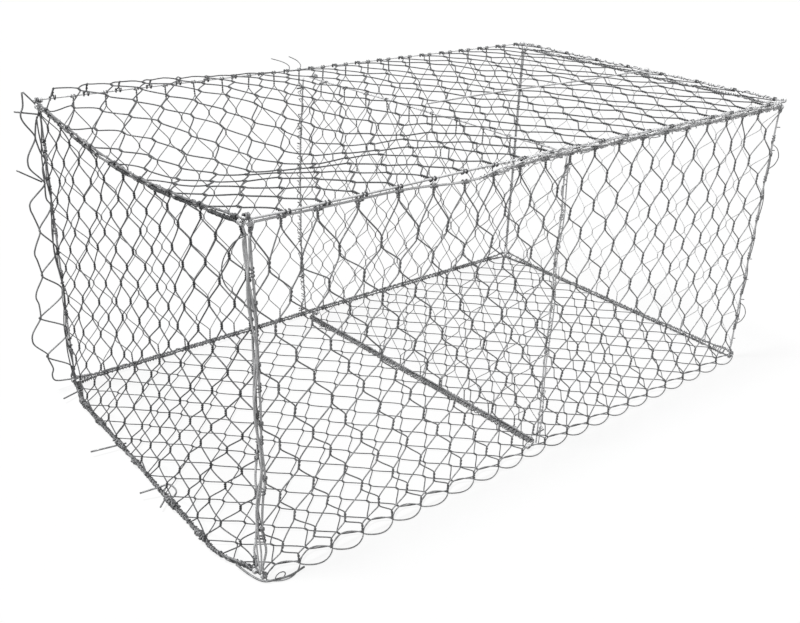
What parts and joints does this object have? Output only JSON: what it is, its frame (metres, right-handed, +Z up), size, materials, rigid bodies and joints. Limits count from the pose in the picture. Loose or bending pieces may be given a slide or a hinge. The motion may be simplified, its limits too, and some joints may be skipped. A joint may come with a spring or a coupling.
{
  "type": "gabion basket",
  "caption": "Empty box basket of hexagonal double-twist wire mesh with laced edge wires, a diaphragm across the inside and a hinged mesh lid, to be filled with stones for a gabion wall.",
  "frame": {"origin": "middle of the footprint at ground level", "axes": "+X along the length to the right end, +Y from the front to the back where the lid is hinged, +Z up"},
  "size_m": [1.8134, 1.0282, 0.8062],
  "materials": {
    "mesh_wire": "heavily galvanized woven wire, dull grey with bright glints",
    "edge_wire": "heavily galvanized thick wire, smooth zinc grey",
    "lacing_wire": "soft galvanized tie wire, dull grey"
  },
  "bodies": {
    "basket": {"front_mesh": "mesh_wire", "back_mesh": "mesh_wire", "base_mesh": "mesh_wire", "left_end_mesh": "mesh_wire", "right_end_mesh": "mesh_wire", "diaphragm_mesh": "mesh_wire", "front_top_wire": "edge_wire", "front_left_wire": "edge_wire", "front_right_wire": "edge_wire", "base_left_wire": "edge_wire", "base_right_wire": "edge_wire", "base_back_wire": "edge_wire", "back_bottom_wire": "edge_wire", "back_left_wire": "edge_wire", "back_right_wire": "edge_wire", "lid_hinge_wire": "edge_wire", "left_end_top_wire": "edge_wire", "left_end_bottom_wire": "edge_wire", "left_end_front_wire": "edge_wire", "left_end_back_wire": "edge_wire", "right_end_top_wire": "edge_wire", "right_end_bottom_wire": "edge_wire", "right_end_front_wire": "edge_wire", "right_end_back_wire": "edge_wire", "diaphragm_top_wire": "edge_wire", "diaphragm_bottom_wire": "edge_wire", "diaphragm_front_wire": "edge_wire", "diaphragm_back_wire": "edge_wire", "front_left_lacing": "lacing_wire", "front_right_lacing": "lacing_wire", "back_left_lacing": "lacing_wire", "back_right_lacing": "lacing_wire", "left_bottom_lacing": "lacing_wire", "right_bottom_lacing": "lacing_wire", "back_bottom_lacing": "lacing_wire", "diaphragm_front_lacing": "lacing_wire", "diaphragm_back_lacing": "lacing_wire"},
    "lid": {"lid_mesh": "mesh_wire", "lid_front_wire": "edge_wire", "lid_left_wire": "edge_wire", "lid_right_wire": "edge_wire", "lid_brace_wire": "edge_wire"}
  },
  "joints": [
    {"name": "lid_hinge", "type": "hinge", "parent": "basket", "child": "lid", "pos_m": [0, 0.5, 0.8], "axis": [-1, 0, 0], "range_deg": [0, 225]}
  ]
}
